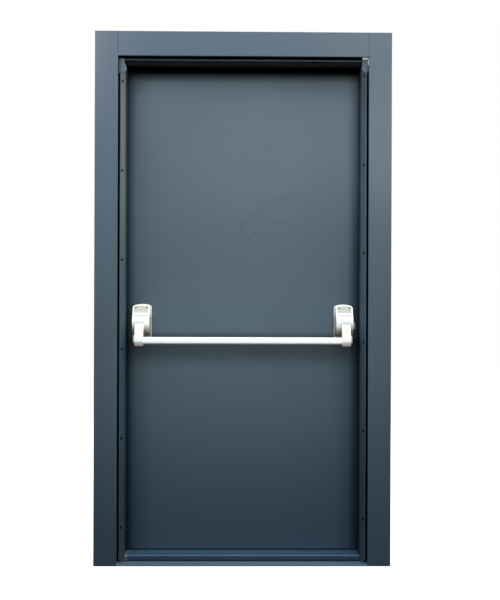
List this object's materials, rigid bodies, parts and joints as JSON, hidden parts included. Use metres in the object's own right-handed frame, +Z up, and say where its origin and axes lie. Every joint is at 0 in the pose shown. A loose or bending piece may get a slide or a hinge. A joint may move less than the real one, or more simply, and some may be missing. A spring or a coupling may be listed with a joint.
{
  "type": "fire door",
  "caption": "Steel fire door in a folded frame with wide architraves and a low threshold; an arm-type push bar inside; the leaf opens away from the bar.",
  "frame": {"origin": "on the floor at the middle of the threshold plate's underside, with y = 0 at the push-side face of the leaf", "axes": "+X to the right seen from the push bar side, +Y away from the push bar side, the way the leaf opens, +Z up"},
  "size_m": [1.244, 0.1875, 2.238],
  "materials": {
    "frame_paint": "satin",
    "leaf_paint": "satin",
    "threshold_steel": "satin",
    "seal_rubber": "matte",
    "pin_steel": "satin",
    "mineral_wool": "matte",
    "silver_fittings": "satin",
    "latch_metal": "satin"
  },
  "bodies": {
    "frame": {"architrave_left": "frame_paint", "architrave_right": "frame_paint", "architrave_head": "frame_paint", "jamb_left": "frame_paint", "jamb_right": "frame_paint", "frame_head": "frame_paint", "corner_tab_left": "frame_paint", "corner_tab_right": "frame_paint", "threshold_plate": "threshold_steel", "threshold_step": "frame_paint", "frame_seals": "seal_rubber", "hinge_frame_halves": "frame_paint", "hinge_pins": "pin_steel"},
    "leaf": {"leaf_inner_skin": "leaf_paint", "leaf_outer_skin": "leaf_paint", "leaf_core": "mineral_wool", "hinge_leaf_halves": "leaf_paint", "housing_cover_left": "silver_fittings", "housing_cover_right": "silver_fittings", "housing_base_left": "silver_fittings", "housing_base_right": "silver_fittings", "arm_pivot_left": "pin_steel", "arm_pivot_right": "pin_steel"},
    "push_bar_set": {"arm_left": "silver_fittings", "arm_right": "silver_fittings", "push_bar": "silver_fittings"},
    "latch": {"latch_bolt": "latch_metal"}
  },
  "joints": [
    {"name": "leaf_hinge", "type": "hinge", "parent": "frame", "child": "leaf", "pos_m": [-0.541, 0.053, 0], "axis": [0, 0, 1], "range_deg": [0, 95], "stiffness_Nm_per_rad": 10, "springref_deg": -28.65},
    {"name": "push_bar_press", "type": "hinge", "parent": "leaf", "child": "push_bar_set", "pos_m": [0, -0.03008, 1.02586], "axis": [1, 0, 0], "range_deg": [0, 12], "stiffness_Nm_per_rad": 6, "springref_deg": -20.05},
    {"name": "latch_slide", "type": "slide", "parent": "leaf", "child": "latch", "axis": [-1, 0, 0], "range_m": [0, 0.0081]}
  ],
  "couplings": [
    {"joint": "latch_slide", "follows": "push_bar_press", "m_per_rad": 0.0382}
  ]
}
